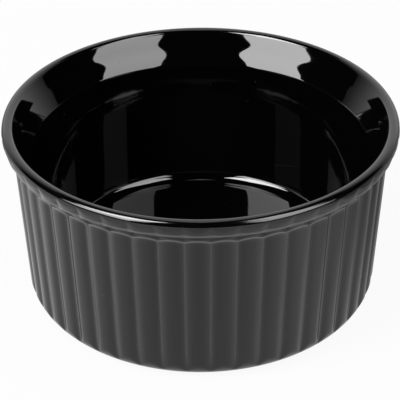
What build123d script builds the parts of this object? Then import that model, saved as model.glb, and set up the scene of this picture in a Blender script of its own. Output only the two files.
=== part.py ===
from build123d import *
import math
import os

# Fluted ramekin with a flared, overhanging lip. Millimetres, +Z up,
# with the origin under the middle of the foot ring.

# Whole dish, measured over the glaze
rim_diameter = 114.0
dish_height = 56.0

# Glaze
glaze_thickness = 0.4

# Lip: a rounded top, a gently bowed outer face that draws in, and a sloping underside
lip_top_round = 1.8
lip_face_round = 3.4
lip_widest_depth = 2.2
lip_edge_depth = 4.5
lip_edge_inset = 0.5
lip_edge_round = 1.0
lip_underside_drop = 2.7
lip_underside_width = 2.3
lip_scallop_depth = 0.4
lip_scallop_round = 1.5

# Wall, over the crests of the flutes
wall_draft = 2.1
base_round = 6.0
flute_count = 48
flute_depth = 0.9
flute_groove_round = 0.7
crest_trim = 0.05

# Inside: a flared band under the lip, a shoulder, the wall and the floor
shoulder_inset = 8.4
shoulder_depth = 9.6
shoulder_round = 2.5
wall_thickness_at_floor = 6.6
floor_round = 4.0
floor_height = 6.0

# Underneath
foot_lift = 0.4
foot_diameter = 89.0
foot_ring_width = 4.0
foot_edge_round = 0.6
recess_depth = 1.6

# Cutting tools run past the faces that they cut by this much
overrun = 3.0

# The sloping underside runs on into the wall for this many flute depths
underside_root_share = 2.0

# The rounds on the foot ring's edges keep to this share of its width
foot_round_share = 0.3

# Places worked out from the sizes above
rim_radius = rim_diameter / 2
lip_top_height = dish_height - lip_top_round
lip_face_radius = rim_radius - lip_face_round
lip_widest_height = dish_height - lip_widest_depth
lip_top_rise = lip_top_height - lip_widest_height
lip_top_radius = lip_face_radius + math.sqrt((lip_face_round - lip_top_round) ** 2 - lip_top_rise**2)
lip_edge_radius = rim_radius - lip_edge_inset
lip_edge_height = dish_height - lip_edge_depth
wall_top_radius = lip_edge_radius - lip_underside_width
wall_top_height = lip_edge_height - lip_underside_drop
wall_foot_radius = wall_top_radius - wall_draft
wall_foot_height = foot_lift + base_round
wall_slope = wall_draft / (wall_top_height - wall_foot_height)
shoulder_radius = rim_radius - shoulder_inset
shoulder_height = dish_height - shoulder_depth
floor_corner_radius = wall_foot_radius - wall_thickness_at_floor
foot_outer_radius = foot_diameter / 2
foot_inner_radius = foot_outer_radius - foot_ring_width


def tangent_point(point, centre, radius, side):
    """Where a straight line from a point touches a circle; side is 1 or -1."""
    away_x = point[0] - centre[0]
    away_y = point[1] - centre[1]
    distance = math.hypot(away_x, away_y)
    turn = side * math.acos(radius / distance)
    angle = math.atan2(away_y, away_x) + turn
    return (centre[0] + radius * math.cos(angle), centre[1] + radius * math.sin(angle)), math.degrees(angle)


def inset_line(line, distance):
    """The same outline, moved into the clay, which lies on its right."""
    if distance == 0:
        return line
    return line.offset_2d(distance, kind=Kind.ARC, side=Side.RIGHT, closed=False)


def closed_face(line, *corners):
    """A face bounded by an open outline and straight runs through the corners."""
    run = Polyline(line @ 1, *corners, line @ 0)
    return make_face(line.edges() + run.edges())


def turned(face):
    """A face in the plane of radius and height, turned round the dish's axis."""
    return revolve(Plane.XZ * face, axis=Axis.Z)


# Outlines in the plane of radius and height, each smooth from end to end

def inner_outline():
    """From the middle of the floor, up the wall and the flared band, to the top of the lip."""
    shoulder = (shoulder_radius, shoulder_height)
    centre = (lip_top_radius, lip_top_height)
    touch, touch_angle = tangent_point(shoulder, centre, lip_top_round, -1)
    side = FilletPolyline(
        (0, floor_height),
        (floor_corner_radius, floor_height),
        shoulder,
        touch,
        radius=[floor_round, shoulder_round],
    )
    top = CenterArc(centre, lip_top_round, touch_angle, 90 - touch_angle % 360)
    return Wire(side.edges() + top.edges())


def lip_edge_touch():
    """Where the straight foot of the lip's outer face leaves the bowed part, and at what angle."""
    edge = (lip_edge_radius, lip_edge_height)
    centre = (lip_face_radius, lip_widest_height)
    return tangent_point(edge, centre, lip_face_round, 1)


def lip_outline():
    """From the top of the lip, down its outer face and in along its underside, into the wall."""
    root = underside_root_share * flute_depth
    root_height = wall_top_height - root * lip_underside_drop / lip_underside_width
    top_centre = (lip_top_radius, lip_top_height)
    face_centre = (lip_face_radius, lip_widest_height)
    edge = (lip_edge_radius, lip_edge_height)
    touch, touch_angle = lip_edge_touch()
    meet_angle = math.degrees(math.atan2(lip_top_rise, lip_top_radius - lip_face_radius))
    top = CenterArc(top_centre, lip_top_round, 90, meet_angle - 90)
    face = CenterArc(face_centre, lip_face_round, meet_angle, touch_angle - meet_angle)
    under = FilletPolyline(touch, edge, (wall_top_radius - root, root_height), radius=lip_edge_round)
    return Wire(top.edges() + face.edges() + under.edges())


def wall_outline():
    """From inside the lip, down the flutes' crests and round the base, to the middle underneath."""
    top_radius = wall_top_radius + wall_slope * (lip_edge_height - wall_top_height)
    side = FilletPolyline(
        (top_radius, lip_edge_height),
        (wall_foot_radius - wall_slope * base_round, foot_lift),
        (0, foot_lift),
        radius=base_round,
    )
    return Wire(side.edges())


# Flutes: convex lobes side by side, with a small round in the groove between two

def lobed_face(crest_radius, depth, groove_round, inset, height):
    """A plan section through the flutes at one height, moved inwards by the inset."""
    half_pitch = math.pi / flute_count
    crest = crest_radius + crest_trim
    groove_centre = crest_radius - depth + groove_round
    reach = crest + groove_round
    lobe_centre = (reach**2 - groove_centre**2) / (2 * (reach - groove_centre * math.cos(half_pitch)))
    lobe_radius = crest - lobe_centre
    groove_x = groove_centre * math.cos(half_pitch)
    groove_y = groove_centre * math.sin(half_pitch)
    lean = math.atan2(groove_y, groove_x - lobe_centre)
    touch_x = lobe_centre + (lobe_radius - inset) * math.cos(lean)
    touch_y = (lobe_radius - inset) * math.sin(lean)
    touch_radius = math.hypot(touch_x, touch_y)
    touch_turn = math.atan2(touch_y, touch_x)

    def at(radius, turn):
        return (radius * math.cos(turn), radius * math.sin(turn))

    edges = []
    for flute in range(flute_count):
        middle = 2 * half_pitch * flute
        start = at(touch_radius, middle - touch_turn)
        end = at(touch_radius, middle + touch_turn)
        next_start = at(touch_radius, middle + 2 * half_pitch - touch_turn)
        crest_point = at(crest - inset, middle)
        groove_point = at(crest_radius - depth - inset, middle + half_pitch)
        edges += ThreePointArc(start, crest_point, end).edges()
        edges += ThreePointArc(end, groove_point, next_start).edges()
    return Pos(0, 0, height) * make_face(edges)


def lobed_solid(low, high, depth, groove_round, inset):
    """A tapering lobed column between two crest places, each a radius and a height."""
    sections = [
        lobed_face(radius, depth, groove_round, inset, height)
        for radius, height in (low, high)
    ]
    return loft(sections, ruled=True)


def wall_form(inset):
    """The solid fluted wall and base, before it is hollowed."""
    low_height = foot_lift - overrun
    low = (wall_top_radius - wall_slope * (wall_top_height - low_height), low_height)
    high_radius = wall_top_radius + wall_slope * (lip_edge_height - wall_top_height)
    high = (high_radius, lip_edge_height)
    lobes = lobed_solid(low, high, flute_depth, flute_groove_round, inset)
    outline = inset_line(wall_outline(), inset)
    middle_top = (0, (outline @ 0).Y)
    return lobes & turned(closed_face(outline, middle_top))


def lip_form(inset):
    """The solid lip, with its softly scalloped outer face, before it is hollowed."""
    touch, touch_angle = lip_edge_touch()
    lean = (touch[0] - lip_edge_radius) / (touch[1] - lip_edge_height)
    low_height = wall_top_height - overrun
    high_height = dish_height + overrun
    low = (lip_edge_radius - lean * (lip_edge_height - low_height), low_height)
    high = (lip_edge_radius + lean * (high_height - lip_edge_height), high_height)
    lobes = lobed_solid(low, high, lip_scallop_depth, lip_scallop_round, inset)
    outline = inset_line(lip_outline(), inset)
    above = dish_height + overrun / 2
    corners = [(0, (outline @ 1).Y), (0, above), ((outline @ 0).X, above)]
    return lobes & turned(closed_face(outline, *corners))


def outer_form(inset):
    return wall_form(inset) + lip_form(inset)


def disc(radius, low, high):
    """An upright cylinder between two heights."""
    return extrude(Pos(0, 0, low) * Circle(radius), amount=high - low)


def foot_ring():
    """The unglazed ring that the dish stands on, with both its edges rounded."""
    top = foot_lift + glaze_thickness + foot_edge_round
    width = foot_outer_radius - foot_inner_radius
    section = FilletPolyline(
        (foot_inner_radius, top),
        (foot_inner_radius, 0),
        (foot_outer_radius, 0),
        (foot_outer_radius, top),
        radius=min(foot_edge_round, foot_round_share * width),
    )
    return turned(closed_face(Wire(section.edges())))


def clay_body(form):
    """The fired clay: the fluted pot with its lip, floor and foot ring."""
    outline = inset_line(inner_outline(), glaze_thickness)
    above = dish_height + overrun
    hollow = turned(closed_face(outline, ((outline @ 1).X, above), (0, above)))
    recess = disc(foot_inner_radius, -overrun, recess_depth + glaze_thickness)
    return form - hollow + foot_ring() - recess


def inside_glaze():
    """The glaze on the floor, the wall and the flared band, up to the top of the lip."""
    surface = inner_outline()
    under = inset_line(surface, glaze_thickness)
    ends = Polyline(surface @ 1, under @ 1).edges() + Polyline(under @ 0, surface @ 0).edges()
    return turned(make_face(surface.edges() + ends + under.edges()))


def outside_glaze(form):
    """The glaze from the top of the lip, down the flutes and round the base, to the foot ring."""
    under_foot = disc(foot_outer_radius, -overrun, foot_lift + overrun)
    return outer_form(0) - form - under_foot


def underside_glaze():
    """The glaze on the recess inside the foot ring."""
    return disc(foot_inner_radius, recess_depth, recess_depth + glaze_thickness)


def main():
    clay_form = outer_form(glaze_thickness)
    nodes = {
        "clay_body": clay_body(clay_form),
        "inside_glaze": inside_glaze(),
        "outside_glaze": outside_glaze(clay_form),
        "underside_glaze": underside_glaze(),
    }
    os.makedirs("parts", exist_ok=True)
    for name, shape in nodes.items():
        export_step(shape, f"parts/{name}.step")


main()
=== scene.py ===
import math

import bmesh
import bpy
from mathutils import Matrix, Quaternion, Vector


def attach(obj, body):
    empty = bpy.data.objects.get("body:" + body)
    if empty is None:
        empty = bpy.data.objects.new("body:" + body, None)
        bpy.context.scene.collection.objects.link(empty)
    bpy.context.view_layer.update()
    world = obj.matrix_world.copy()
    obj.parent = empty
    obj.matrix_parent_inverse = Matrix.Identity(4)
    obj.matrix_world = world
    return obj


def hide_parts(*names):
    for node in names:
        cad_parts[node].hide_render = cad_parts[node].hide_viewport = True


# A fluted black-glazed ramekin on a white floor. Metres, +Z up, origin under the
# middle of the foot. The sizes down to the foot's are the ones that the solid part was made from.

mm = 0.001

# Whole dish, over the glaze
rim_radius = 57.0 * mm
dish_height = 56.0 * mm
glaze_thickness = 0.4 * mm

# Lip
lip_top_round = 1.8 * mm
lip_face_round = 3.4 * mm
lip_widest_depth = 2.2 * mm
lip_edge_depth = 4.5 * mm
lip_edge_inset = 0.5 * mm
lip_edge_round = 1.0 * mm
lip_underside_drop = 2.7 * mm
lip_underside_width = 2.3 * mm
lip_scallop_depth = 0.4 * mm
lip_scallop_round = 1.5 * mm

# Wall and its flutes
wall_draft = 2.1 * mm
base_round = 6.0 * mm
flute_count = 48
flute_depth = 0.9 * mm
flute_groove_round = 0.7 * mm
crest_trim = 0.05 * mm

# Inside
shoulder_inset = 8.4 * mm
shoulder_depth = 9.6 * mm
shoulder_round = 2.5 * mm
wall_thickness_at_floor = 6.6 * mm
floor_round = 4.0 * mm
floor_height = 6.0 * mm

# Underneath
foot_lift = 0.4 * mm
foot_radius = 44.5 * mm
foot_ring_width = 4.0 * mm
foot_edge_round = 0.6 * mm
recess_depth = 1.6 * mm

# The coat in the recess: the round of its edge, and the width of its finely divided rim
recess_edge_round = 0.3 * mm
recess_rim_width = 1.2 * mm

# The faint swell that forming leaves in the flared band: its height, the length of its wave, and
# how far below the top of the band that wave crosses the plain face. It shows towards the back,
# easing in between two cosines of the way round from the front
flare_swell = 0.1 * mm
flare_swell_length = 9.2 * mm
flare_swell_place = 6.7 * mm
swell_full_cosine = -0.8
swell_gone_cosine = -0.3

# The glaze that gathers on the shoulder: its depth, and how far it runs down. It shows at the
# dish's sides, easing in between two sines of the way round from the front
shoulder_fill = 0.4 * mm
shoulder_fill_length = 14.0 * mm
fill_gone_sine = 0.55
fill_full_sine = 0.9

# The mould's unevenness: the scales of its patterns, read on a ring of this radius. It dies away
# over a share of the lip's top round and of the base round, and leaves the very top still
uneven_scale = 70.0
sway_scale = 110.0
sway_seed_step = 7.3
pattern_radius = 50.0 * mm
free_share = 0.5
still_top_share = 0.2

# A painted highlight line in each groove, for the light that the grooves mirror: a core, and a halo
# some core widths wide, from a share of the base round upwards. Another painted highlight line runs
# a little above the lip's lower edge
highlight_core_share = 0.6
highlight_halo_widths = 3.0
highlight_start_share = 0.4
highlight_edge_rise = 0.1 * mm
highlight_edge_width = 0.7 * mm

# How the glaze softens the flutes, and how uneven the mould leaves them
fluted_form = {
    "Flute Depth": 0.75 * mm, "Groove Round": 1.4 * mm, "Soft Round": 1.8 * mm,
    "Unevenness": 0.14 * mm, "Wander": 0.004, "Seed": 3.0,
}

# The hidden backs of the coats take only every sixth and every fifth point of their faces
outside_back_step = 6
inside_back_step = 5

# Meshes: points closer than this are one, on an outline and round the dish, and an edge that is
# bent more than this is shaded sharp
same_point = 0.0001 * mm
merge_distance = 0.002 * mm
sharp_bend = math.radians(55)

# Added before a column's flute is found, so that rounding can't give it the flute before
flute_slack = 0.0001

# Glaze: how strongly it bends light, its clouds, specks and ripples
glaze_index = 1.55
cloud_scale = 60.0
cloud_low = 0.3
cloud_high = 0.7
speck_scale = 420.0
speck_size = 0.16
speck_roughness = 0.25
wave_depth = 0.5 * mm
peel_depth = 0.1 * mm

# Bare clay
clay_roughness = 0.8
grain_scale = 900.0
grain_low = 0.35
grain_high = 0.65
grain_strength = 0.3
grain_depth = 0.2 * mm

# Camera: its turns, its distance from the point on the axis that it aims at, and its lens
camera_turn = math.radians(1.03)
camera_rise = math.radians(32.85)
camera_roll = math.radians(-0.387)
camera_distance = 440 * mm
camera_aim = 26.59 * mm
camera_lens = 133.15
camera_sensor = 36.0
camera_shift = -0.0024

# Light panels: parts of domes round this height, with their distances. In degrees, the elevation
# at which the windows' lower parts give way to the upper ones, and the sweep to the ceiling. The
# sweep fades, between two places on the way to the back, to a share of its strength
panel_middle = 50 * mm
window_distance = 1.6
sweep_distance = 1.9
ceiling_distance = 2.0
window_split = 39.3
sweep_top = 50
fade_start = 0.7
fade_end = 1.5
sweep_edge_share = 0.15

# Lamps, and how strongly the white world fills the shadows
world_fill = 0.45
lamp_width = 0.8
lamp_distance = 1.2
lamp_height = 1.1
lamp_aim = 30 * mm

# Floor: its reach to each side, its grey in the light, and how white the camera sees it
floor_reach = 3.0
floor_grey = 0.85
floor_roughness = 0.9
floor_whiteness = 0.93

# How bright the floor glows where the glaze mirrors it, with painted light and shade: in front of
# the dish, at its sides, where a painted pool of light is brightest to the left, and the share left
# behind it in painted shade. To the right the painted shade comes sooner: a share of the way there
# counts as way to the back
floor_front = 0.72
floor_left = 1.0
floor_right = 0.95
floor_back_painted_shade = 0.35
floor_slant_share = 0.4
floor_side_width = 100 * mm
floor_back_width = 50 * mm

# Places worked out from the sizes
face_centre = (rim_radius - lip_face_round, dish_height - lip_widest_depth)
top_rise = lip_widest_depth - lip_top_round
top_reach = math.sqrt((lip_face_round - lip_top_round) ** 2 - top_rise**2)
top_centre = (face_centre[0] + top_reach, face_centre[1] + top_rise)
lip_edge = (rim_radius - lip_edge_inset, dish_height - lip_edge_depth)
wall_top = (lip_edge[0] - lip_underside_width, lip_edge[1] - lip_underside_drop)
wall_foot = (wall_top[0] - wall_draft, foot_lift + base_round)
wall_slope = (wall_top[0] - wall_foot[0]) / (wall_top[1] - wall_foot[1])
shoulder = (rim_radius - shoulder_inset, dish_height - shoulder_depth)
floor_corner = (wall_foot[0] - wall_thickness_at_floor, floor_height)
foot_inner_radius = foot_radius - foot_ring_width
recess_top = recess_depth + glaze_thickness

# The lip's underside runs on into the wall for two flute depths
root_width = 2 * flute_depth
lip_root = (wall_top[0] - root_width, wall_top[1] - root_width * lip_underside_drop / lip_underside_width)

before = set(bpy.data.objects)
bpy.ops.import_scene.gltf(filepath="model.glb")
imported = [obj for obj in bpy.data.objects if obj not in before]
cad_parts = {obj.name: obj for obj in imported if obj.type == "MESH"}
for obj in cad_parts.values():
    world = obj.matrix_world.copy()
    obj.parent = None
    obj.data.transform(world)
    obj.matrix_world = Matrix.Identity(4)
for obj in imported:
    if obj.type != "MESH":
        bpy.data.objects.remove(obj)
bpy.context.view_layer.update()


# Outlines in the plane of radius and height

def on_circle(centre, radius, angle):
    """The point of a circle at an angle in radians."""
    return (centre[0] + radius * math.cos(angle), centre[1] + radius * math.sin(angle))


def arc(centre, radius, start, end, pieces):
    """Points along an arc, both ends included; the angles are in radians."""
    return [on_circle(centre, radius, start + (end - start) * n / pieces) for n in range(pieces + 1)]


def run(start, end, pieces):
    """Points along a straight run, both ends included."""
    return [
        (start[0] + (end[0] - start[0]) * n / pieces, start[1] + (end[1] - start[1]) * n / pieces)
        for n in range(pieces + 1)
    ]


def rounded_corner(before, corner, after, radius, pieces):
    """Points round a corner that is eased to a radius."""
    corner = Vector(corner)
    back = (Vector(before) - corner).normalized()
    on = (Vector(after) - corner).normalized()
    half = back.angle(on) / 2
    centre = corner + (back + on).normalized() * (radius / math.sin(half))
    first = corner + back * (radius / math.tan(half)) - centre
    last = corner + on * (radius / math.tan(half)) - centre
    start = math.atan2(first.y, first.x)
    turn = math.remainder(math.atan2(last.y, last.x) - start, 2 * math.pi)
    return arc(centre, radius, start, start + turn, pieces)


def touch_angle(point, centre, radius, side):
    """The angle at which a straight line from a point touches a circle; side is 1 or -1."""
    away = (point[0] - centre[0], point[1] - centre[1])
    return math.atan2(away[1], away[0]) + side * math.acos(radius / math.hypot(*away))


def joined(*stretches):
    """One outline from stretches that start where the one before ends."""
    points = list(stretches[0])
    for stretch in stretches[1:]:
        points += [p for p in stretch if math.dist(p, points[-1]) > same_point]
    return points


def moved_in(points, distance):
    """The outline moved to its right by a distance."""
    moved = []
    for n, point in enumerate(points):
        before = points[max(n - 1, 0)]
        after = points[min(n + 1, len(points) - 1)]
        along = Vector((after[0] - before[0], after[1] - before[1])).normalized()
        moved.append((point[0] + along.y * distance, point[1] - along.x * distance))
    return moved


# Where the straight foot of the lip's outer face and the flared band touch the lip's rounds
lip_face_angle = touch_angle(lip_edge, face_centre, lip_face_round, 1)
lip_face_foot = on_circle(face_centre, lip_face_round, lip_face_angle)
lip_face_lean = (lip_face_foot[0] - lip_edge[0]) / (lip_face_foot[1] - lip_edge[1])
flare_angle = touch_angle(shoulder, top_centre, lip_top_round, -1) % (2 * math.pi)
flare_top = on_circle(top_centre, lip_top_round, flare_angle)
flare_length = math.dist(shoulder, flare_top)


def crest_at(height):
    """The radius of the wall's crests at a height."""
    return wall_top[0] - wall_slope * (wall_top[1] - height)


def lip_crest_at(height):
    """The radius of the crests on the lip's outer face at a height."""
    return lip_edge[0] + lip_face_lean * (height - lip_edge[1])


def lip_outline():
    """From the top of the lip, down its bowed outer face and in along its underside."""
    meet = math.atan2(top_centre[1] - face_centre[1], top_centre[0] - face_centre[0])
    top = arc(top_centre, lip_top_round, math.pi / 2, meet, 14)
    face = arc(face_centre, lip_face_round, meet, lip_face_angle, 12)
    edge = rounded_corner(face[-1], lip_edge, lip_root, lip_edge_round, 8)
    return joined(top, face, run(face[-1], edge[0], 2), edge, run(edge[-1], lip_root, 26))


def wall_outline():
    """From inside the lip, down the crests of the flutes, round the base and in to the foot ring."""
    foot_corner = (wall_foot[0] - wall_slope * base_round, foot_lift)
    base = rounded_corner(wall_top, foot_corner, (0, foot_lift), base_round, 20)
    start_height = lip_root[1] - glaze_thickness
    start = (crest_at(start_height), start_height)
    return joined(run(start, base[0], 14), base, run(base[-1], (foot_radius, foot_lift), 4))


def inner_outline():
    """From the middle of the floor, up the wall and the flared band, to the top of the lip."""
    floor_bend = rounded_corner((0, floor_height), floor_corner, shoulder, floor_round, 24)
    shoulder_bend = rounded_corner(floor_corner, shoulder, flare_top, shoulder_round, 10)
    return joined(
        run((0, floor_height), floor_bend[0], 10),
        floor_bend,
        run(floor_bend[-1], shoulder_bend[0], 12),
        shoulder_bend,
        run(shoulder_bend[-1], flare_top, 48),
        arc(top_centre, lip_top_round, flare_angle, math.pi / 2, 16),
    )


def recess_outline():
    """The coat in the recess, with the soft edge of a glaze wiped back from the foot ring."""
    corner = (foot_inner_radius, recess_depth)
    back_corner = (foot_inner_radius, recess_top)
    rim = (foot_inner_radius - recess_rim_width, recess_depth)
    edge = rounded_corner((0, recess_depth), corner, back_corner, recess_edge_round, 5)
    return joined(
        run((0, recess_depth), rim, 8),
        run(rim, edge[0], 3),
        edge,
        run(edge[-1], back_corner, 2),
        run(back_corner, (0, recess_top), 4),
    )


def foot_outline():
    """The bare foot ring, and the clay in the recess inside it."""
    outer = (foot_radius, 0)
    inner = (foot_inner_radius, 0)
    back_corner = (foot_inner_radius, recess_top)
    outer_top = (foot_radius, foot_lift + glaze_thickness + foot_edge_round)
    outer_edge = rounded_corner(outer_top, outer, inner, foot_edge_round, 8)
    inner_edge = rounded_corner(outer, inner, back_corner, foot_edge_round, 8)
    return joined(
        run((foot_radius, foot_lift + glaze_thickness), outer_edge[0], 2),
        outer_edge,
        run(outer_edge[-1], inner_edge[0], 6),
        inner_edge,
        run(inner_edge[-1], back_corner, 3),
        run(back_corner, (0, recess_top), 6),
    )


# Rows: the points of an outline, each with how strongly every effect works on it

# A crest line this far out trims nothing
far_out = 10 * mm


def limited(value):
    """A value kept between 0 and 1."""
    return min(1.0, max(0.0, value))


def row_at(point, **effects):
    """A plain row, with no flutes, unevenness or painted highlight lines, but for the effects that are given.
    """
    row = dict.fromkeys(("lip", "inset", "free", "groove", "corner", "edge", "swell", "fill"), 0.0)
    row.update(height=point[1], wall=point[0], wall_crest=point[0] + far_out, lip_crest=point[0] + far_out)
    row.update(effects)
    return row


def lip_row(point, inset):
    """A row of the lip; below its lower edge the wall stands behind it."""
    height = point[1]
    return row_at(
        point,
        wall=crest_at(height) if height < lip_edge[1] else 0.0,
        lip=point[0],
        wall_crest=crest_at(height),
        lip_crest=lip_crest_at(height),
        inset=inset,
        free=limited((dish_height - height) / (free_share * lip_top_round) - still_top_share),
        # Where highlight is painted: in the grooves, where they meet the lip, and along the lip's lower edge
        groove=1.0,
        corner=1.0,
        edge=limited(1 - abs(height - lip_edge[1] - highlight_edge_rise) / highlight_edge_width),
    )


def wall_row(point, inset):
    """A row of the wall or the base."""
    height = point[1]
    return row_at(
        point,
        wall_crest=crest_at(height),
        lip_crest=lip_crest_at(height),
        inset=inset,
        free=limited((height - foot_lift - glaze_thickness) / (free_share * base_round)),
        # The painted highlight in the grooves fades in from a share of the way up the base round
        groove=limited((height - highlight_start_share * base_round) / base_round),
    )


def outside_rows(inset):
    """The whole outside, from the top of the lip to the foot ring, moved in by the inset."""
    lip = [lip_row(point, inset) for point in moved_in(lip_outline(), inset)]
    wall = [wall_row(point, inset) for point in moved_in(wall_outline(), inset)]
    return lip + wall


def inside_row(point):
    """A row of the inside's face, with its swell and its gathered glaze."""
    return row_at(point, swell=swell_at(point), fill=fill_at(point))


def swell_at(point):
    """How far the faint swell moves a point of the flared band away from the axis."""
    below = (flare_top[1] - point[1]) * flare_length / (flare_top[1] - shoulder[1])
    if not 0 < below < flare_length or point[0] < shoulder[0] - shoulder_round:
        return 0.0
    wave = math.sin(2 * math.pi * (below - flare_swell_place) / flare_swell_length)
    return -flare_swell * wave * math.sin(math.pi * below / flare_length)


def fill_at(point):
    """How far the gathered glaze moves a point of the band or the wall towards the axis."""
    if point[1] > shoulder[1]:
        share = (lip_edge[1] - point[1]) / (lip_edge[1] - shoulder[1])
    else:
        share = 1 - (shoulder[1] - point[1]) / shoulder_fill_length
    return shoulder_fill * limited(share)


# Building blocks for node trees

NUMBER = "NodeSocketFloat"
WHOLE = "NodeSocketInt"
SHAPE = "NodeSocketGeometry"
VECTOR = "NodeSocketVector"


def put(tree, kind, inputs=None, **settings):
    """Adds a node; an input is a number, a colour or another node's output."""
    node = tree.nodes.new(kind)
    for name, value in settings.items():
        setattr(node, name, value)
    for key, value in (inputs or {}).items():
        if isinstance(value, bpy.types.NodeSocket):
            tree.links.new(value, node.inputs[key])
        else:
            node.inputs[key].default_value = value
    return node


def calc(tree, operation, *values):
    """One sum, as a node; returns its output."""
    return put(tree, "ShaderNodeMath", dict(enumerate(values)), operation=operation).outputs[0]


def plus(tree, first, second):
    """The sum of two values."""
    return calc(tree, "ADD", first, second)


def minus(tree, first, second):
    """What is left of a value when another is taken off it."""
    return calc(tree, "SUBTRACT", first, second)


def times(tree, first, *others):
    """The product of two or more values."""
    product = first
    for other in others:
        product = calc(tree, "MULTIPLY", product, other)
    return product


def unsigned(tree, value):
    """A value without its sign."""
    return calc(tree, "ABSOLUTE", value)


def ranged(tree, value, start, end, low=0.0, high=1.0, kind="LINEAR"):
    """Carries a value from the range between start and end to the one between low and high."""
    return put(tree, "ShaderNodeMapRange", {
        "Value": value, "From Min": start, "From Max": end, "To Min": low, "To Max": high,
    }, interpolation_type=kind).outputs[0]


def eased(tree, value, start, end, low=0.0, high=1.0):
    """Carries a value from one range to another, as ranged does, with soft ends."""
    return ranged(tree, value, start, end, low, high, "SMOOTHSTEP")


def split(tree, vector):
    """The X, Y and Z of a vector."""
    return put(tree, "ShaderNodeSeparateXYZ", {0: vector}).outputs


def object_place(tree):
    """The place on the piece, in the dish's own frame."""
    return put(tree, "ShaderNodeTexCoord").outputs["Object"]


def noise(tree, vector, scale, detail):
    """A cloudy pattern from 0 to 1."""
    return put(tree, "ShaderNodeTexNoise", {"Vector": vector, "Scale": scale, "Detail": detail}).outputs[0]


def group(tree, inner, values):
    """Sets a node group in a tree, with its named inputs; returns its outputs."""
    kind = "GeometryNodeGroup" if tree.bl_idname == "GeometryNodeTree" else "ShaderNodeGroup"
    return put(tree, kind, values, node_tree=inner).outputs


def blend(tree, factor, low, high):
    """Mixes two colours, each three numbers or another node's output."""
    mix = put(tree, "ShaderNodeMix", {"Factor": factor}, data_type="RGBA")
    for key, value in (("A", low), ("B", high)):
        socket = next(s for s in mix.inputs if s.name == key and s.type == "RGBA")
        if isinstance(value, bpy.types.NodeSocket):
            tree.links.new(value, socket)
        else:
            socket.default_value = (*value, 1)
    return next(s for s in mix.outputs if s.type == "RGBA")


def new_tree(name, kind, inputs, outputs):
    """A node group with named inputs and outputs; returns it with the sockets of its two ends."""
    tree = bpy.data.node_groups.new(name, kind)
    for label, socket, value in inputs:
        item = tree.interface.new_socket(label, in_out="INPUT", socket_type=socket)
        if value is not None:
            item.default_value = value
    for label, socket in outputs:
        tree.interface.new_socket(label, in_out="OUTPUT", socket_type=socket)
    start = tree.nodes.new("NodeGroupInput")
    end = tree.nodes.new("NodeGroupOutput")
    return tree, start.outputs, end.inputs


def new_material(name):
    """A material with its shader; returns the material, its tree and the shader."""
    material = bpy.data.materials.new(name)
    material.use_nodes = True
    return material, material.node_tree, material.node_tree.nodes["Principled BSDF"]


def added(name, data):
    """A new object in the scene."""
    thing = bpy.data.objects.new(name, data)
    bpy.context.scene.collection.objects.link(thing)
    return thing


# Flutes: convex lobes side by side, with a small round in the groove between two

section_inputs = [
    ("Crest Radius", NUMBER, rim_radius), ("Depth", NUMBER, flute_depth),
    ("Groove Round", NUMBER, flute_groove_round), ("Inset", NUMBER, 0.0),
    ("Half Pitch", NUMBER, math.pi / flute_count), ("Turn", NUMBER, 0.0),
]


def flute_section_tree():
    """The radius of a plan section through the flutes, at a turn from the middle of a lobe."""
    tree, given, result = new_tree("Flute section", "GeometryNodeTree", section_inputs, [("Radius", NUMBER)])
    half = given["Half Pitch"]
    turn = unsigned(tree, given["Turn"])
    crest = plus(tree, given["Crest Radius"], crest_trim)
    groove = plus(tree, minus(tree, given["Crest Radius"], given["Depth"]), given["Groove Round"])
    groove_x = times(tree, groove, calc(tree, "COSINE", half))
    groove_y = times(tree, groove, calc(tree, "SINE", half))
    reach = plus(tree, crest, given["Groove Round"])
    gap = times(tree, minus(tree, reach, groove), plus(tree, reach, groove))
    lobe = calc(tree, "DIVIDE", gap, times(tree, 2.0, minus(tree, reach, groove_x)))
    lobe_round = minus(tree, minus(tree, crest, lobe), given["Inset"])
    lean = calc(tree, "ARCTAN2", groove_y, minus(tree, groove_x, lobe))
    touch_x = plus(tree, lobe, times(tree, lobe_round, calc(tree, "COSINE", lean)))
    touch_y = times(tree, lobe_round, calc(tree, "SINE", lean))
    touch = calc(tree, "ARCTAN2", touch_y, touch_x)

    def chord(centre, radius, angle, operation):
        """Where a line from the axis at an angle meets a circle: ADD is its far side."""
        across = times(tree, centre, calc(tree, "SINE", angle))
        left = minus(tree, times(tree, radius, radius), times(tree, across, across))
        root = calc(tree, "SQRT", calc(tree, "MAXIMUM", left, 0.0))
        along = times(tree, centre, calc(tree, "COSINE", angle))
        return calc(tree, operation, along, root)

    on_lobe = chord(lobe, lobe_round, turn, "ADD")
    groove_round = plus(tree, given["Groove Round"], given["Inset"])
    in_groove = chord(groove, groove_round, minus(tree, half, turn), "SUBTRACT")
    past = calc(tree, "GREATER_THAN", turn, touch)
    step = times(tree, past, minus(tree, in_groove, on_lobe))
    tree.links.new(plus(tree, on_lobe, step), result["Radius"])
    return tree


# Coats and clay: an outline turned round the axis

coat_inputs = [
    ("Outline", SHAPE, None), ("Rows", WHOLE, 2), ("Flutes", WHOLE, flute_count),
    ("Columns per Flute", WHOLE, 16), ("Crowding", NUMBER, 1.8),
    ("Flute Depth", NUMBER, flute_depth), ("Groove Round", NUMBER, flute_groove_round),
    ("Scallop Depth", NUMBER, lip_scallop_depth), ("Scallop Round", NUMBER, lip_scallop_round),
    ("Soft Round", NUMBER, 0.3 * mm), ("Crest Softness", NUMBER, 0.15 * mm),
    # The width of the painted highlight lines, and how strong they are in the grooves
    ("Highlight Width", NUMBER, 0.4 * mm), ("Groove Highlight", NUMBER, 0.5),
    ("Unevenness", NUMBER, 0.0), ("Wander", NUMBER, 0.0), ("Seed", NUMBER, 0.0),
]


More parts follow.
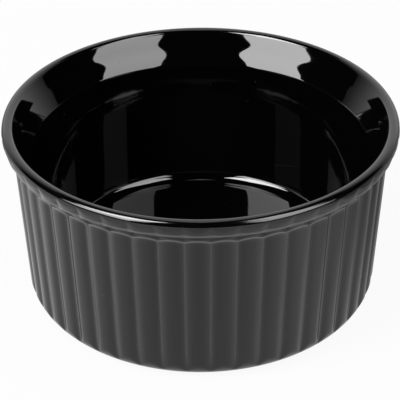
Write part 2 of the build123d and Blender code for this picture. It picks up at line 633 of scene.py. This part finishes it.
def column_place(tree, given, column, half):
    """The middle of a column's flute, and the column's turn from there.

    The columns crowd together towards the grooves.
    """
    flutes_on = calc(tree, "DIVIDE", column, given["Columns per Flute"])
    flute = calc(tree, "FLOOR", plus(tree, flutes_on, flute_slack))
    from_middle = minus(tree, times(tree, minus(tree, flutes_on, flute), 2.0), 1.0)
    to_groove = minus(tree, 1.0, unsigned(tree, from_middle))
    crowding = calc(tree, "POWER", calc(tree, "MAXIMUM", to_groove, 0.0), given["Crowding"])
    turn = times(tree, calc(tree, "SIGN", from_middle), minus(tree, 1.0, crowding), half)
    return times(tree, flute, 2.0, half), turn


def mould_unevenness(tree, given, azimuth, height):
    """How far the face lies in, from 0 to 1, and how far the flutes sway round the dish."""
    ring = put(tree, "ShaderNodeCombineXYZ", {
        "X": times(tree, calc(tree, "COSINE", azimuth), pattern_radius),
        "Y": times(tree, calc(tree, "SINE", azimuth), pattern_radius),
        "Z": height,
    }).outputs[0]

    def pattern(seed, scale):
        return put(tree, "ShaderNodeTexNoise", {
            "Vector": ring, "W": seed, "Scale": scale, "Detail": 1.0,
        }, noise_dimensions="4D").outputs[0]

    slow = pattern(given["Seed"], uneven_scale)
    drift = pattern(plus(tree, given["Seed"], sway_seed_step), sway_scale)
    return slow, times(tree, minus(tree, drift, 0.5), given["Wander"])


def fluted_sides(tree, given, section, of_row, turn, half):
    """The radius of the wall and of the lip, each with its flutes cut under its own crest line."""
    def cut(side, depth, groove_round):
        trimmed = group(tree, section, {
            "Crest Radius": of_row(side + "_crest"), "Depth": given[depth],
            "Groove Round": given[groove_round], "Inset": of_row("inset"), "Half Pitch": half, "Turn": turn,
        })
        return calc(tree, "SMOOTH_MIN", of_row(side), trimmed["Radius"], given["Crest Softness"])

    return cut("wall", "Flute Depth", "Groove Round"), cut("lip", "Scallop Depth", "Scallop Round")


def painted_highlight_lines(tree, given, of_row, wall, lip, from_groove):
    """How strongly highlight is painted on the glaze: in the grooves, where they meet the lip and along the
    lip's lower edge.
    """
    def near(distance, reach):
        """1 where a distance is nothing, easing to 0 at its reach."""
        return eased(tree, unsigned(tree, distance), 0.0, reach, 1.0, 0.0)

    width = given["Highlight Width"]
    core = times(tree, near(from_groove, width), highlight_core_share)
    halo = times(tree, near(from_groove, times(tree, width, highlight_halo_widths)), 1 - highlight_core_share)
    on_wall = calc(tree, "GREATER_THAN", wall, lip)
    in_groove = times(tree, plus(tree, core, halo), of_row("groove"), on_wall, given["Groove Highlight"])
    at_top = times(tree, near(minus(tree, wall, lip), width), of_row("corner"))
    return calc(tree, "MAXIMUM", calc(tree, "MAXIMUM", in_groove, at_top), of_row("edge"))


def turned_coat_tree(name, section, material):
    """Turns an outline round the axis; where a section tree is given, flutes are cut in it.

    Each point of the outline has its radius in wall or lip, or in both. The rounds are softened
    as a glaze softens them, and the mesh keeps where highlight is painted on the glaze.
    """
    tree, given, result = new_tree(name, "GeometryNodeTree", coat_inputs, [("Geometry", SHAPE)])
    columns = times(tree, given["Flutes"], given["Columns per Flute"])
    grid = put(tree, "GeometryNodeMeshGrid", {
        "Size X": 1.0, "Size Y": 1.0, "Vertices X": plus(tree, columns, 1.0), "Vertices Y": given["Rows"],
    })
    place = split(tree, put(tree, "GeometryNodeInputPosition").outputs[0])
    column = calc(tree, "ROUND", times(tree, plus(tree, place["X"], 0.5), columns))
    row = calc(tree, "ROUND", times(tree, plus(tree, place["Y"], 0.5), minus(tree, given["Rows"], 1.0)))

    def of_row(attribute):
        """A number kept at the outline's point with this row's index."""
        named = put(tree, "GeometryNodeInputNamedAttribute", {"Name": attribute}, data_type="FLOAT")
        sample = put(
            tree, "GeometryNodeSampleIndex",
            {"Geometry": given["Outline"], "Value": named.outputs["Attribute"], "Index": row},
            data_type="FLOAT", domain="POINT",
        )
        return sample.outputs["Value"]

    half = calc(tree, "DIVIDE", math.pi, given["Flutes"])
    middle, turn = column_place(tree, given, column, half)
    azimuth = plus(tree, middle, turn)
    height = of_row("height")
    slow, sway = mould_unevenness(tree, given, azimuth, height)

    if section:
        wall, lip = fluted_sides(tree, given, section, of_row, turn, half)
        radius = calc(tree, "SMOOTH_MAX", wall, lip, given["Soft Round"])
        from_groove = times(tree, minus(tree, half, unsigned(tree, turn)), wall)
        painted_highlight = painted_highlight_lines(tree, given, of_row, wall, lip, from_groove)
    else:
        radius = of_row("wall")
        painted_highlight = 0.0

    # The swell towards the back, the gathered glaze at the sides, and the mould's unevenness
    to_back = eased(tree, calc(tree, "COSINE", azimuth), swell_full_cosine, swell_gone_cosine, 1.0, 0.0)
    to_sides = eased(tree, unsigned(tree, calc(tree, "SINE", azimuth)), fill_gone_sine, fill_full_sine)
    radius = plus(tree, radius, times(tree, of_row("swell"), to_back))
    radius = minus(tree, radius, times(tree, of_row("fill"), to_sides))
    radius = minus(tree, radius, times(tree, slow, given["Unevenness"], of_row("free")))
    radius = calc(tree, "MAXIMUM", radius, 0.0)
    azimuth = plus(tree, azimuth, times(tree, sway, of_row("free")))

    # Azimuth 0 looks towards -Y, the front of the dish
    point = put(tree, "ShaderNodeCombineXYZ", {
        "X": times(tree, radius, calc(tree, "SINE", azimuth)),
        "Y": times(tree, radius, calc(tree, "COSINE", azimuth), -1.0),
        "Z": height,
    }).outputs[0]
    # Keep where highlight is painted on the glaze, for the glaze to read
    mesh = put(
        tree, "GeometryNodeStoreNamedAttribute",
        {"Geometry": grid.outputs["Mesh"], "Name": "painted_highlight", "Value": painted_highlight}, data_type="FLOAT", domain="POINT",
    ).outputs[0]
    mesh = put(tree, "GeometryNodeSetPosition", {"Geometry": mesh, "Position": point}).outputs[0]
    mesh = put(tree, "GeometryNodeMergeByDistance", {"Geometry": mesh, "Distance": merge_distance}).outputs[0]
    mesh = put(tree, "GeometryNodeRealizeInstances", {"Geometry": mesh}).outputs[0]
    mesh = put(tree, "GeometryNodeSetMaterial", {"Geometry": mesh, "Material": material}).outputs[0]
    tree.links.new(mesh, result["Geometry"])
    return tree


def turned_piece(name, rows, tree, values, replaces):
    """Runs an outline through a coat tree and makes the result a plain, closed, smooth mesh."""
    outline = bpy.data.meshes.new(name + "_outline")
    points = [(row["wall"], 0, row["height"]) for row in rows]
    outline.from_pydata(points, [(n, n + 1) for n in range(len(rows) - 1)], [])
    for key in rows[0]:
        attribute = outline.attributes.new(key, "FLOAT", "POINT")
        attribute.data.foreach_set("value", [row[key] for row in rows])
    maker = added(name + "_maker", outline)
    modifier = maker.modifiers.new("coat", "NODES")
    modifier.node_group = tree
    wanted = {"Rows": len(rows), **values}
    for item in tree.interface.items_tree:
        if item.item_type == "SOCKET" and item.in_out == "INPUT" and item.name in wanted:
            modifier[item.identifier] = wanted[item.name]
    bpy.context.view_layer.update()
    evaluated = maker.evaluated_get(bpy.context.evaluated_depsgraph_get())
    mesh = bpy.data.meshes.new_from_object(evaluated)
    mesh.name = name
    bpy.data.objects.remove(maker)
    face_outwards(mesh)
    piece = added(name, mesh)
    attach(piece, "root")
    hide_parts(replaces)
    return piece


def face_outwards(mesh):
    """Turns all faces outwards, and shades smoothly across all but the sharp edges."""
    work = bmesh.new()
    work.from_mesh(mesh)
    bmesh.ops.recalc_face_normals(work, faces=work.faces)
    if work.calc_volume(signed=True) < 0:
        bmesh.ops.reverse_faces(work, faces=work.faces)
    for face in work.faces:
        face.smooth = True
    for edge in work.edges:
        edge.smooth = len(edge.link_faces) == 2 and edge.calc_face_angle(0) < sharp_bend
    work.to_mesh(mesh)
    work.free()


# Materials

def ripple_tree():
    """The faint unevenness of a fired glaze, as a normal."""
    inputs = [
        ("Wave Scale", NUMBER, 120.0), ("Wave Strength", NUMBER, 0.04),
        ("Peel Scale", NUMBER, 900.0), ("Peel Strength", NUMBER, 0.02),
    ]
    tree, given, result = new_tree("Glaze ripple", "ShaderNodeTree", inputs, [("Normal", VECTOR)])
    place = object_place(tree)
    wide = put(tree, "ShaderNodeBump", {
        "Strength": given["Wave Strength"], "Distance": wave_depth,
        "Height": noise(tree, place, given["Wave Scale"], 1.0),
    })
    fine = put(tree, "ShaderNodeBump", {
        "Strength": given["Peel Strength"], "Distance": peel_depth,
        "Height": noise(tree, place, given["Peel Scale"], 2.0), "Normal": wide.outputs[0],
    })
    tree.links.new(fine.outputs[0], result["Normal"])
    return tree


def speck_tree():
    """Scattered pinholes and dust, as a mask from 0 to 1."""
    inputs = [("Scale", NUMBER, speck_scale), ("Size", NUMBER, speck_size), ("Share", NUMBER, 0.02)]
    tree, given, result = new_tree("Glaze specks", "ShaderNodeTree", inputs, [("Mask", NUMBER)])
    cells = put(tree, "ShaderNodeTexVoronoi", {"Vector": object_place(tree), "Scale": given["Scale"]})
    half_size = times(tree, given["Size"], 0.5)
    spot = ranged(tree, cells.outputs["Distance"], half_size, given["Size"], 1.0, 0.0)
    chance = put(tree, "ShaderNodeSeparateColor", {0: cells.outputs["Color"]})
    chosen = calc(tree, "LESS_THAN", chance.outputs[0], given["Share"])
    tree.links.new(times(tree, spot, chosen), result["Mask"])
    return tree


def grey(level):
    """A colour with three like parts."""
    return (level, level, level)


def glaze(name, dark, light, speck_grey, highlight_grey, roughness, speck_share, ripple):
    """A black glaze: near-black glass over the clay, with its own ripple, specks and sheen.

    Its colour clouds between dark and light, and turns to a grey painted highlight where the piece
    carries its highlight lines, fully where their attribute is 1. The roughness is a lowest and a highest
    value.
    """
    material, tree, shader = new_material(name)
    shader.inputs["IOR"].default_value = glaze_index
    cloud = noise(tree, object_place(tree), cloud_scale, 3.0)
    sheen = ranged(tree, cloud, cloud_low, cloud_high, *roughness)
    mask = group(tree, specks, {"Scale": speck_scale, "Size": speck_size, "Share": speck_share})["Mask"]
    tree.links.new(plus(tree, sheen, times(tree, mask, speck_roughness)), shader.inputs["Roughness"])
    # Painted highlight: the glaze turns grey along the coat's highlight lines
    painted_highlight = put(tree, "ShaderNodeAttribute", attribute_name="painted_highlight").outputs["Fac"]
    body = blend(tree, painted_highlight, blend(tree, cloud, dark, light), grey(highlight_grey))
    tree.links.new(blend(tree, mask, body, grey(speck_grey)), shader.inputs["Base Color"])
    tree.links.new(group(tree, ripples, ripple)["Normal"], shader.inputs["Normal"])
    return material


def fired_clay(name, dark, light):
    """Bare fired clay, with its grain."""
    material, tree, shader = new_material(name)
    shader.inputs["Roughness"].default_value = clay_roughness
    grain = noise(tree, object_place(tree), grain_scale, 4.0)
    shade = ranged(tree, grain, grain_low, grain_high)
    tree.links.new(blend(tree, shade, dark, light), shader.inputs["Base Color"])
    bump = put(tree, "ShaderNodeBump", {"Strength": grain_strength, "Distance": grain_depth, "Height": grain})
    tree.links.new(bump.outputs[0], shader.inputs["Normal"])
    return material


ripples = ripple_tree()
specks = speck_tree()
inside_black = glaze(
    "inside black glaze",
    dark=(0.0010, 0.0010, 0.0011),
    light=(0.0016, 0.0016, 0.0016),
    speck_grey=0.012,
    highlight_grey=0.02,
    roughness=(0.03, 0.05),
    speck_share=0.02,
    ripple={"Wave Scale": 110.0, "Wave Strength": 0.04, "Peel Scale": 900.0, "Peel Strength": 0.01},
)
outside_black = glaze(
    "outside black glaze",
    dark=(0.0012, 0.0011, 0.0011),
    light=(0.0020, 0.0018, 0.0018),
    speck_grey=0.02,
    # The grey of the painted highlight lines
    highlight_grey=0.09,
    roughness=(0.06, 0.10),
    speck_share=0.04,
    ripple={"Wave Scale": 140.0, "Wave Strength": 0.04, "Peel Scale": 900.0, "Peel Strength": 0.02},
)
bare_clay = fired_clay("bare fired clay", dark=(0.42, 0.35, 0.27), light=(0.58, 0.50, 0.41))


# Pieces of the dish

flutes = flute_section_tree()
outer_face = outside_rows(0.0)
outer_back = outside_rows(glaze_thickness)
inner_face = inner_outline()
inner_back = moved_in(inner_face, glaze_thickness)


def outside_coat():
    """The glaze over the lip, the flutes and the base, down to the foot ring."""
    rows = outer_face + outer_back[::-outside_back_step] + [outer_back[0], outer_face[0]]
    tree = turned_coat_tree("Outside coat", flutes, outside_black)
    return turned_piece("outside_coat", rows, tree, fluted_form, "outside_glaze")


def inside_coat():
    """The glaze on the floor, the wall and the flared band, up to the top of the lip."""
    back = inner_back[::-inside_back_step] + [(0, floor_height - glaze_thickness), inner_face[0]]
    rows = [inside_row(point) for point in inner_face] + [row_at(point) for point in back]
    tree = turned_coat_tree("Inside coat", None, inside_black)
    fineness = {"Columns per Flute": 10, "Crowding": 1.0}
    return turned_piece("inside_coat", rows, tree, fineness, "inside_glaze")


def underside_coat():
    """The glaze on the recess inside the foot ring."""
    line = recess_outline()
    rows = [row_at(point) for point in line + [line[0]]]
    tree = turned_coat_tree("Underside coat", None, outside_black)
    fineness = {"Columns per Flute": 4, "Crowding": 1.0}
    return turned_piece("underside_coat", rows, tree, fineness, "underside_glaze")


def clay_body():
    """The clay: under the coats everywhere, bare on the foot ring."""
    inside = [row_at(point) for point in inner_back]
    foot = [row_at(point) for point in foot_outline() + [inner_back[0]]]
    tree = turned_coat_tree("Clay body", flutes, bare_clay)
    form = {**fluted_form, "Columns per Flute": 8}
    rows = inside + outer_back[1:] + foot
    return turned_piece("clay_body_piece", rows, tree, form, "clay_body")


outside_coat()
inside_coat()
underside_coat()
clay_body()


# Floor

def white_floor():
    """White to the camera but for the dish's shadow; where the glaze mirrors it, a glow with painted light
    and shade.

    From below it is clear, so that the dish's underside can be seen.
    """
    material, tree, shader = new_material("white floor")
    shader.inputs["Base Color"].default_value = (*grey(floor_grey), 1)
    shader.inputs["Roughness"].default_value = floor_roughness
    shader.inputs["Specular IOR Level"].default_value = 0.0
    path = put(tree, "ShaderNodeLightPath").outputs
    place = split(tree, object_place(tree))
    # Painted light and shade on the glow that the glaze mirrors: a pool of light to each side, brightest to
    # the left, and shade behind the dish
    to_left = ranged(tree, place["X"], -floor_side_width, 0.0, floor_left - floor_front, 0.0)
    to_right = ranged(tree, place["X"], 0.0, floor_side_width, 0.0, floor_right - floor_front)
    backwards = plus(tree, place["Y"], times(tree, place["X"], floor_slant_share))
    back = eased(tree, backwards, -floor_back_width, floor_back_width, 1.0, floor_back_painted_shade)
    across = plus(tree, plus(tree, to_left, to_right), floor_front)
    mirrored = times(tree, path["Is Glossy Ray"], times(tree, across, back))
    strength = calc(tree, "MAXIMUM", path["Is Camera Ray"], mirrored)
    glow = put(tree, "ShaderNodeEmission", {"Color": (1, 1, 1, 1), "Strength": strength})
    seen = calc(tree, "MAXIMUM", times(tree, path["Is Camera Ray"], floor_whiteness), path["Is Glossy Ray"])
    mix = put(tree, "ShaderNodeMixShader", {0: seen, 1: shader.outputs[0], 2: glow.outputs[0]})
    below = put(tree, "ShaderNodeNewGeometry").outputs["Backfacing"]
    clear = put(tree, "ShaderNodeBsdfTransparent")
    face = put(tree, "ShaderNodeMixShader", {0: below, 1: mix.outputs[0], 2: clear.outputs[0]})
    tree.links.new(face.outputs[0], tree.nodes["Material Output"].inputs["Surface"])
    return material


def lay_floor():
    """One wide, flat face under the foot ring."""
    corners = [(x * floor_reach, y * floor_reach, 0) for x, y in ((-1, -1), (1, -1), (1, 1), (-1, 1))]
    mesh = bpy.data.meshes.new("floor")
    mesh.from_pydata(corners, [], [(0, 1, 2, 3)])
    mesh.materials.append(white_floor())
    floor = added("floor", mesh)


lay_floor()


# Light

def panel_material(name, low, high, edge_share):
    """A light panel's face: one strength at its foot, easing to another at its top.

    Low and high are each a height and a strength. The edge share of it is left at the panel's
    sides, where it turns from the back.
    """
    material = bpy.data.materials.new(name)
    material.use_nodes = True
    tree = material.node_tree
    tree.nodes.clear()
    place = split(tree, object_place(tree))
    strength = ranged(tree, place["Z"], low[0], high[0], low[1], high[1])
    if edge_share < 1:
        strength = times(tree, strength, ranged(tree, place["Y"], fade_start, fade_end, edge_share, 1.0))
    face = put(tree, "ShaderNodeEmission", {"Color": (1, 1, 1, 1), "Strength": strength})
    out = put(tree, "ShaderNodeOutputMaterial")
    tree.links.new(face.outputs[0], out.inputs["Surface"])
    return material


def dome_point(distance, elevation, azimuth):
    """A point of a dome round the dish, from angles in degrees; azimuth 0 is the camera's side."""
    rise = math.radians(elevation)
    turn = math.radians(azimuth) + camera_turn
    return (
        distance * math.sin(turn) * math.cos(rise),
        -distance * math.cos(turn) * math.cos(rise),
        panel_middle + distance * math.sin(rise),
    )


def dome_panel(name, rows, low, high, distance=window_distance, edge_share=1.0):
    """A curved light panel that only gloss sees.

    Each row is an elevation, with the azimuths at which it starts and ends, in degrees; + is to
    the camera's right. The strengths low and high belong to the panel's foot and top.
    """
    across = 24
    up = 8
    stations = []
    for row, after in zip(rows, rows[1:]):
        stations += [[a + (b - a) * n / up for a, b in zip(row, after)] for n in range(up)]
    stations.append(rows[-1])
    points = [
        dome_point(distance, elevation, start + (end - start) * n / across)
        for elevation, start, end in stations
        for n in range(across + 1)
    ]
    firsts = [j * (across + 1) + i for j in range(len(stations) - 1) for i in range(across)]
    faces = [(n, n + 1, n + across + 2, n + across + 1) for n in firsts]
    mesh = bpy.data.meshes.new(name)
    mesh.from_pydata(points, [], faces)
    foot = min(point[2] for point in points)
    top = max(point[2] for point in points)
    mesh.materials.append(panel_material(name, (foot, low), (top, high), edge_share))
    card = added(name, mesh)
    card.visible_camera = False
    card.visible_diffuse = False
    card.visible_shadow = False
    card.visible_transmission = False


def light_world():
    """A white world that the camera sees, and that fills the shadows a little."""
    world = bpy.data.worlds.new("studio")
    bpy.context.scene.world = world
    world.use_nodes = True
    tree = world.node_tree
    background = tree.nodes["Background"]
    path = put(tree, "ShaderNodeLightPath").outputs
    level = calc(tree, "MAXIMUM", path["Is Camera Ray"], times(tree, path["Is Diffuse Ray"], world_fill))
    background.inputs["Color"].default_value = (1, 1, 1, 1)
    tree.links.new(level, background.inputs["Strength"])


def hang_lamp(name, azimuth, power):
    """A soft lamp that lights the dish but isn't mirrored in it."""
    lamp = bpy.data.lights.new(name, "AREA")
    lamp.energy = power
    lamp.size = lamp_width
    stand = added(name, lamp)
    turn = math.radians(azimuth) + camera_turn
    stand.location = (lamp_distance * math.sin(turn), -lamp_distance * math.cos(turn), lamp_height)
    stand.rotation_euler = (Vector((0, 0, lamp_aim)) - stand.location).to_track_quat("-Z", "Y").to_euler()
    stand.visible_glossy = False
    stand.visible_camera = False


# Two tall soft windows beside the camera, each in two parts, a sweep behind and a ceiling
dome_panel(
    "left_panel",
    [(12, -78, -39), (25, -73.5, -34.5), (window_split, -68.5, -28.5)],
    low=9.0, high=9.5,
)
dome_panel(
    "left_panel_top",
    [(window_split, -80, -41), (43, -80, -40), (50, -74, -32), (66, -68, -28)],
    low=18.0, high=18.0,
)
dome_panel(
    "right_panel",
    [(12, 32, 75), (24, 29, 71.5), (window_split, 24.5, 67.5)],
    low=5.0, high=6.0,
)
dome_panel(
    "right_panel_top",
    [(window_split, 41, 80), (43, 40, 80), (50, 32, 74), (66, 36, 72)],
    low=6.0, high=7.0,
)
dome_panel(
    "back_sweep",
    [(0, 112, 248), (sweep_top, 112, 248)],
    low=1.0, high=1.2, distance=sweep_distance, edge_share=sweep_edge_share,
)
dome_panel(
    "ceiling",
    [(sweep_top, 155, 205), (89, 155, 205)],
    low=1.2, high=1.2, distance=ceiling_distance,
)
light_world()
hang_lamp("left_lamp", azimuth=-60, power=18.0)
hang_lamp("right_lamp", azimuth=60, power=4.0)


# Camera

def set_camera():
    """A long lens, looking down into the dish from the front."""
    data = bpy.data.cameras.new("camera")
    data.lens = camera_lens
    data.sensor_width = camera_sensor
    data.shift_x = camera_shift
    camera = added("camera", data)
    away = Vector((
        math.sin(camera_turn) * math.cos(camera_rise),
        -math.cos(camera_turn) * math.cos(camera_rise),
        math.sin(camera_rise),
    ))
    camera.location = Vector((0, 0, camera_aim)) + away * camera_distance
    level_view = (-away).to_track_quat("-Z", "Y")
    camera.rotation_euler = (level_view @ Quaternion((0, 0, 1), camera_roll)).to_euler()
    bpy.context.scene.camera = camera


set_camera()
bpy.context.scene.view_settings.view_transform = "Standard"
